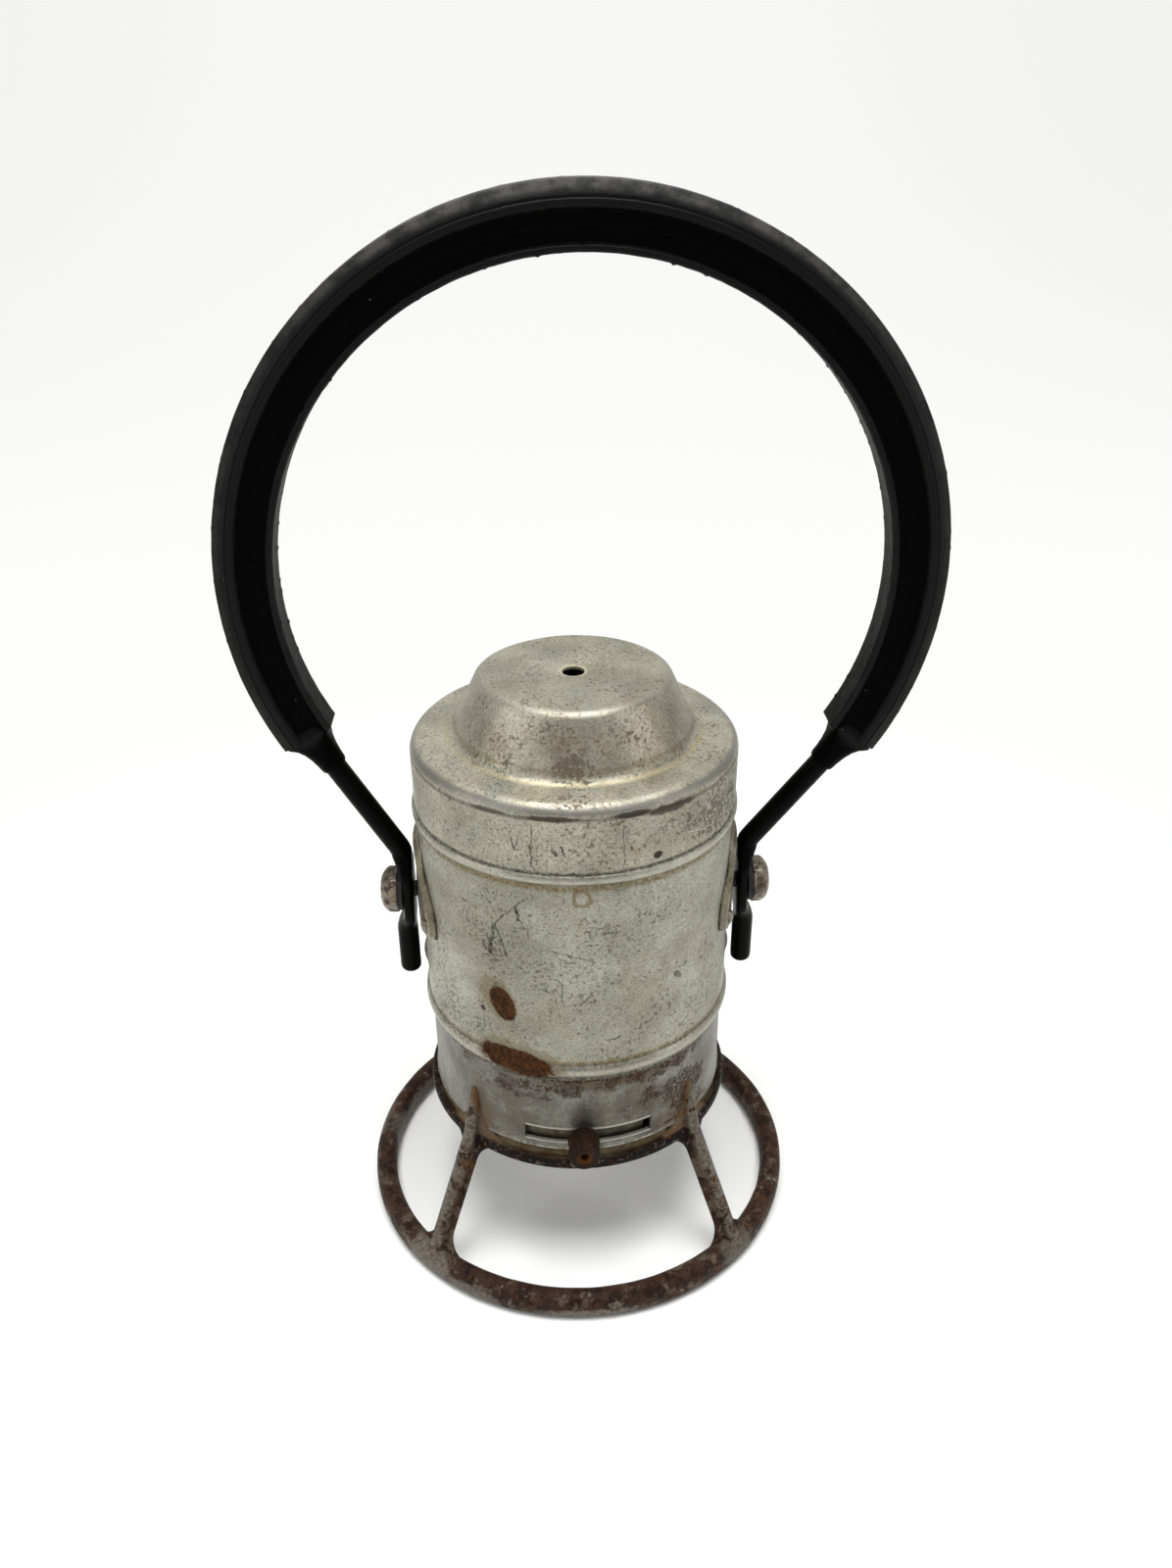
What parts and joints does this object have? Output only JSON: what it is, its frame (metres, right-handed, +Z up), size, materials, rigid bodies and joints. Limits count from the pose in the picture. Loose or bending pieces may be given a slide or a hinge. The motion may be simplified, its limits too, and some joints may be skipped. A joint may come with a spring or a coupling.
{
  "type": "railroad lantern",
  "caption": "Electric railroad hand lantern with a four-legged ring base, downward lamp and reflector, tin battery can, lift-off cap, slide switch and tall bail with a rubber grip.",
  "frame": {"origin": "centre of the base ring's foot plane, on the lantern's upright axis", "axes": "+Z up, -Y towards the switch knob at the front, +X along the bail's pivots to the right"},
  "size_m": [0.194, 0.1384, 0.3049],
  "materials": {
    "ring_iron": "dark brown worn iron, satin",
    "guard_iron": "brown iron with rust at the roots",
    "collar_steel": "dull bluish plated steel, rust stained",
    "can_tin": "dull tinned steel, scratched and stained",
    "ear_tin": "dull tinned steel",
    "rivet_steel": "dull steel with brown rust",
    "bolt_steel": "speckled plated steel",
    "reflector_tin": "bright tinned steel",
    "clip_steel": "dull steel wire",
    "socket_brass": "aged brass",
    "contact_brass": "aged sheet brass",
    "bulb_glass": "clear thin glass",
    "insulator_board": "brown fibre board",
    "battery_wrap": "plain dark battery wrap",
    "spring_steel": "plated spring wire",
    "cap_tin": "dull tinned steel with fine speckle",
    "bail_black": "gloss black enamel",
    "grip_rubber": "satin black moulded rubber, worn grey outside",
    "knob_rust": "rusty brown knob",
    "shutter_steel": "dull steel strip"
  },
  "bodies": {
    "housing": {"base_ring": "ring_iron", "leg_guard": "guard_iron", "base_collar": "collar_steel", "battery_can": "can_tin", "ear_left": "ear_tin", "ear_right": "ear_tin", "ear_rivets": "rivet_steel", "pivot_bolt_left": "bolt_steel", "pivot_bolt_right": "bolt_steel", "pivot_washer_left": "bolt_steel", "pivot_washer_right": "bolt_steel", "pivot_nut_left": "bolt_steel", "pivot_nut_right": "bolt_steel", "reflector": "reflector_tin", "reflector_clip": "clip_steel", "lamp_posts": "clip_steel", "main_socket": "socket_brass", "spare_socket": "socket_brass", "main_bulb_base": "socket_brass", "main_bulb_glass": "bulb_glass", "spare_bulb_base": "socket_brass", "spare_bulb_glass": "bulb_glass", "pivot_sleeve": "insulator_board", "insulator_disc": "insulator_board", "battery_contacts": "contact_brass", "main_contact": "contact_brass", "spare_contact": "contact_brass", "battery_case": "battery_wrap", "battery_springs": "spring_steel"},
    "cap": {"cap": "cap_tin"},
    "bail": {"bail_rod": "bail_black", "bail_grip": "grip_rubber"},
    "switch": {"switch_knob": "knob_rust", "switch_arm": "contact_brass", "switch_shutter": "shutter_steel"}
  },
  "joints": [
    {"name": "bail_swing", "type": "hinge", "parent": "housing", "child": "bail", "pos_m": [0, 0, 0.111], "axis": [1, 0, 0], "range_deg": [-120, 120]},
    {"name": "cap_lift", "type": "slide", "parent": "housing", "child": "cap", "axis": [0, 0, 1], "range_m": [0, 0.06]},
    {"name": "switch_turn", "type": "hinge", "parent": "housing", "child": "switch", "pos_m": [0, 0, 0.052], "axis": [0, 0, 1], "range_deg": [-20, 20]}
  ]
}
